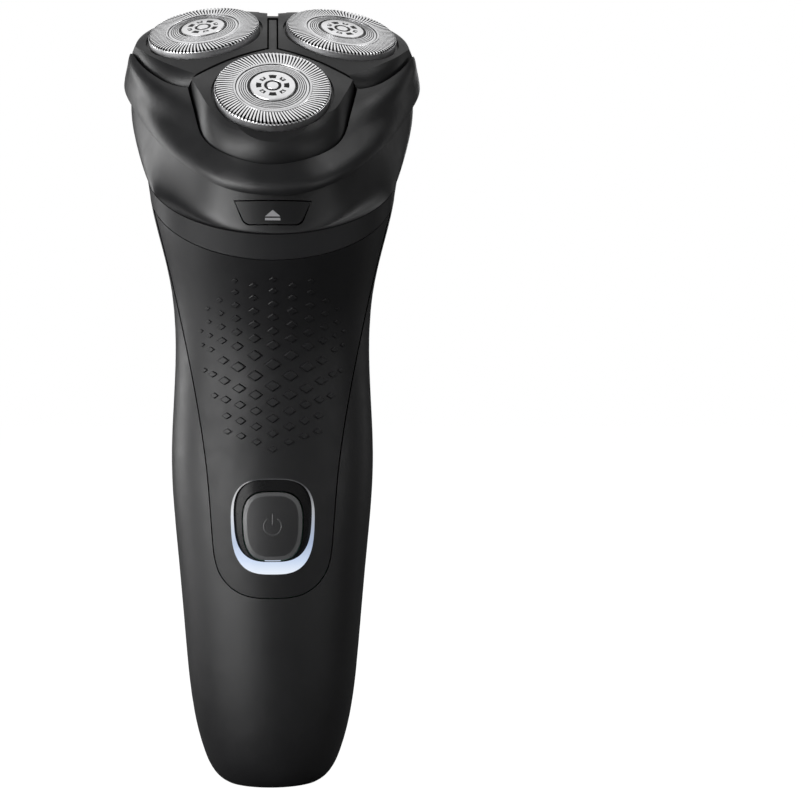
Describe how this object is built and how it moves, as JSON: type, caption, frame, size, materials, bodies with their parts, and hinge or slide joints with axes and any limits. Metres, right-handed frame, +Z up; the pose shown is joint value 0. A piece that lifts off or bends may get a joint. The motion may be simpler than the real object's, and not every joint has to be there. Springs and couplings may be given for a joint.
{
  "type": "rotary electric shaver",
  "caption": "Upright rotary electric shaver with round floating shaving heads in a tilted, hinged shaving unit, a grip panel and a lit power button.",
  "frame": {"origin": "centre of the charging inlet, in the plane of the flat base that the shaver stands on", "axes": "+Z up along the handle, -Y the front with the power button, +X to the viewer's right when the front is seen"},
  "size_m": [0.0626, 0.054, 0.1616],
  "materials": {
    "housing": "satin dark charcoal",
    "grip": "fine matt soft-touch skin",
    "crown": "satin dark charcoal",
    "petal": "smooth satin black",
    "trim": "satin grey",
    "gloss_black": "polished",
    "light": "translucent, lit",
    "bright_rim": "polished",
    "button": "matt",
    "guard_steel": "turned and polished",
    "cap": "polished",
    "blade_steel": "ground",
    "steel": "zinc plated",
    "shaft_steel": "ground",
    "white_plastic": "moulded, natural",
    "grey_plastic": "moulded",
    "seal": "matt",
    "cell_sleeve": "shrink sleeve",
    "contact": "plated",
    "board": "solder mask"
  },
  "bodies": {
    "handle": {"rear_housing": "housing", "front_panel": "grip", "light_guide": "light", "button_bezel": "gloss_black", "trim_ring": "trim", "collar_gasket": "seal", "collar": "crown", "hinge_pin": "shaft_steel", "gear_cover": "grey_plastic", "gear_plate": "grey_plastic", "gear_plate_screws": "steel", "shaft_bush": "contact", "motor_can": "steel", "battery_cell": "cell_sleeve", "battery_contacts": "contact", "circuit_board": "board", "tact_switch": "gloss_black", "status_led": "light", "chassis": "grey_plastic", "charging_socket": "gloss_black", "socket_seal": "seal", "charging_contacts": "contact"},
    "motor_rotor": {"motor_shaft": "shaft_steel", "motor_armature": "steel", "bevel_pinion": "white_plastic"},
    "drive_line": {"drive_shaft": "shaft_steel", "bevel_wheel": "white_plastic", "sun_gear": "white_plastic"},
    "shaving_unit": {"shaving_unit_frame": "crown", "petal_carrier": "grey_plastic"},
    "power_key": {"power_button": "button", "button_rim": "bright_rim"},
    "release_key": {"release_button": "crown"},
    "spindle_drive_front": {"spindle_front": "white_plastic", "spindle_gear_front": "white_plastic"},
    "head_front": {"petal_front": "petal", "guard_front": "guard_steel", "guard_cap_front": "cap", "retainer_front": "grey_plastic"},
    "cutting_front": {"cutter_front": "blade_steel", "cutter_hub_front": "white_plastic"},
    "spindle_drive_right": {"spindle_right": "white_plastic", "spindle_gear_right": "white_plastic"},
    "head_right": {"petal_right": "petal", "guard_right": "guard_steel", "guard_cap_right": "cap", "retainer_right": "grey_plastic"},
    "cutting_right": {"cutter_right": "blade_steel", "cutter_hub_right": "white_plastic"},
    "spindle_drive_left": {"spindle_left": "white_plastic", "spindle_gear_left": "white_plastic"},
    "head_left": {"petal_left": "petal", "guard_left": "guard_steel", "guard_cap_left": "cap", "retainer_left": "grey_plastic"},
    "cutting_left": {"cutter_left": "blade_steel", "cutter_hub_left": "white_plastic"}
  },
  "joints": [
    {"name": "motor_spin", "type": "hinge", "parent": "handle", "child": "motor_rotor", "pos_m": [0, 0.002, 0.098], "axis": [0, 0, 1], "continuous": true},
    {"name": "drive_spin", "type": "hinge", "parent": "handle", "child": "drive_line", "pos_m": [0, 0.00904, 0.13443], "axis": [0, -0.6018, 0.7986], "continuous": true},
    {"name": "spindle_spin_front", "type": "hinge", "parent": "handle", "child": "spindle_drive_front", "pos_m": [0, -0.00607, 0.12805], "axis": [0, -0.6018, 0.7986], "continuous": true},
    {"name": "spindle_spin_right", "type": "hinge", "parent": "handle", "child": "spindle_drive_right", "pos_m": [0.01377, 0.01298, 0.14241], "axis": [0, -0.6018, 0.7986], "continuous": true},
    {"name": "spindle_spin_left", "type": "hinge", "parent": "handle", "child": "spindle_drive_left", "pos_m": [-0.01377, 0.01298, 0.14241], "axis": [0, -0.6018, 0.7986], "continuous": true},
    {"name": "unit_open", "type": "hinge", "parent": "handle", "child": "shaving_unit", "pos_m": [0, 0.02667, 0.15623], "axis": [-1, 0, 0], "range_deg": [0, 105]},
    {"name": "head_tilt_front", "type": "hinge", "parent": "shaving_unit", "child": "head_front", "pos_m": [0, -0.01082, 0.13512], "axis": [-1, 0, 0], "range_deg": [0, 3], "stiffness_Nm_per_rad": 0.05, "springref_deg": -4.58},
    {"name": "cutter_spin_front", "type": "hinge", "parent": "head_front", "child": "cutting_front", "pos_m": [0, -0.01416, 0.13828], "axis": [0, -0.7254, 0.6884], "continuous": true},
    {"name": "head_tilt_right", "type": "hinge", "parent": "shaving_unit", "child": "head_right", "pos_m": [0.01338, 0.00768, 0.14906], "axis": [0.5, -0.6916, -0.5212], "range_deg": [0, 3], "stiffness_Nm_per_rad": 0.05, "springref_deg": -4.58},
    {"name": "cutter_spin_right", "type": "hinge", "parent": "head_right", "child": "cutting_right", "pos_m": [0.01403, 0.00525, 0.15291], "axis": [0.1429, -0.5277, 0.8373], "continuous": true},
    {"name": "head_tilt_left", "type": "hinge", "parent": "shaving_unit", "child": "head_left", "pos_m": [-0.01338, 0.00768, 0.14906], "axis": [0.5, 0.6916, 0.5212], "range_deg": [0, 3], "stiffness_Nm_per_rad": 0.05, "springref_deg": -4.58},
    {"name": "cutter_spin_left", "type": "hinge", "parent": "head_left", "child": "cutting_left", "pos_m": [-0.01403, 0.00525, 0.15291], "axis": [-0.1429, -0.5277, 0.8373], "continuous": true},
    {"name": "power_press", "type": "slide", "parent": "handle", "child": "power_key", "axis": [0, 1, 0], "range_m": [0, 0.0008], "stiffness_N_per_m": 500, "springref_m": -0.0008},
    {"name": "release_press", "type": "slide", "parent": "handle", "child": "release_key", "axis": [0, 1, 0], "range_m": [0, 0.0015], "stiffness_N_per_m": 300, "springref_m": -0.001}
  ],
  "couplings": [
    {"joint": "drive_spin", "follows": "motor_spin", "ratio": -0.66667},
    {"joint": "spindle_spin_front", "follows": "motor_spin", "ratio": 0.55172},
    {"joint": "spindle_spin_right", "follows": "motor_spin", "ratio": 0.55172},
    {"joint": "spindle_spin_left", "follows": "motor_spin", "ratio": 0.55172},
    {"joint": "cutter_spin_front", "follows": "motor_spin", "ratio": 0.55172},
    {"joint": "cutter_spin_right", "follows": "motor_spin", "ratio": 0.55172},
    {"joint": "cutter_spin_left", "follows": "motor_spin", "ratio": 0.55172}
  ]
}
